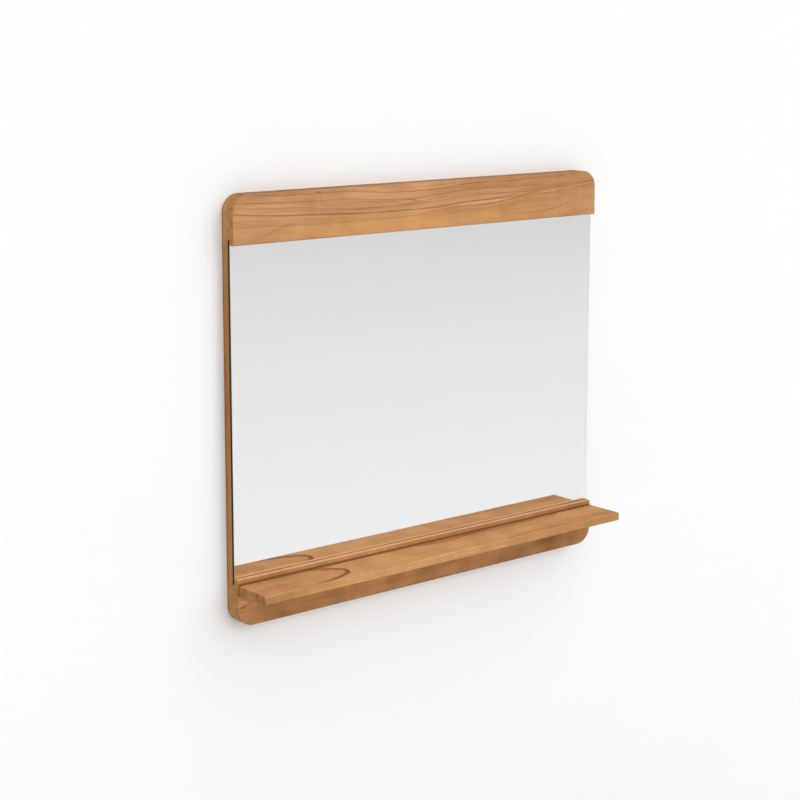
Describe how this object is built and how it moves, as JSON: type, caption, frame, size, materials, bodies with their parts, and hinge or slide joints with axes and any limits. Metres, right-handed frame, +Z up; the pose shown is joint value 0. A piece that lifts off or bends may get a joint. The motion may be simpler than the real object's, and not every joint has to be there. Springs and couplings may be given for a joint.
{
  "type": "mirror with shelf",
  "caption": "Wall mirror with a wooden header board, a lower board with rounded corners, glass held in grooves between them and a narrow shelf below the glass.",
  "frame": {"origin": "midway between the round entries of the two keyhole plates, on the back face of the boards", "axes": "+X to the right as seen from the front, +Y into the wall, +Z up"},
  "size_m": [0.8, 0.1085, 0.7],
  "materials": {
    "teak": "oiled, satin, fine open grain along X",
    "teak_upright": "oiled, satin, fine open grain along Z",
    "mirror": "silvered glass with ground upright edges",
    "black_tape": "matte foam tape",
    "block_rubber": "matte rubber",
    "plywood": "raw sanded veneer",
    "zinc_steel": "zinc plated, slightly dull",
    "felt": "dense grey felt",
    "beech": "fluted beech dowel"
  },
  "bodies": {
    "root": {"header_board": "teak", "lower_board": "teak", "left_stile": "teak_upright", "right_stile": "teak_upright", "centre_stile": "teak_upright", "mirror_glass": "mirror", "left_mirror_tape": "black_tape", "right_mirror_tape": "black_tape", "centre_mirror_tape": "black_tape", "upper_glazing_strip": "black_tape", "lower_glazing_strip": "black_tape", "setting_blocks": "block_rubber", "back_panel": "plywood", "panel_screws": "zinc_steel", "left_hanger_plate": "zinc_steel", "right_hanger_plate": "zinc_steel", "hanger_screws": "zinc_steel", "wall_pads": "felt", "shelf_board": "teak", "shelf_dowels": "beech", "shelf_screws": "zinc_steel"}
  },
  "joints": []
}
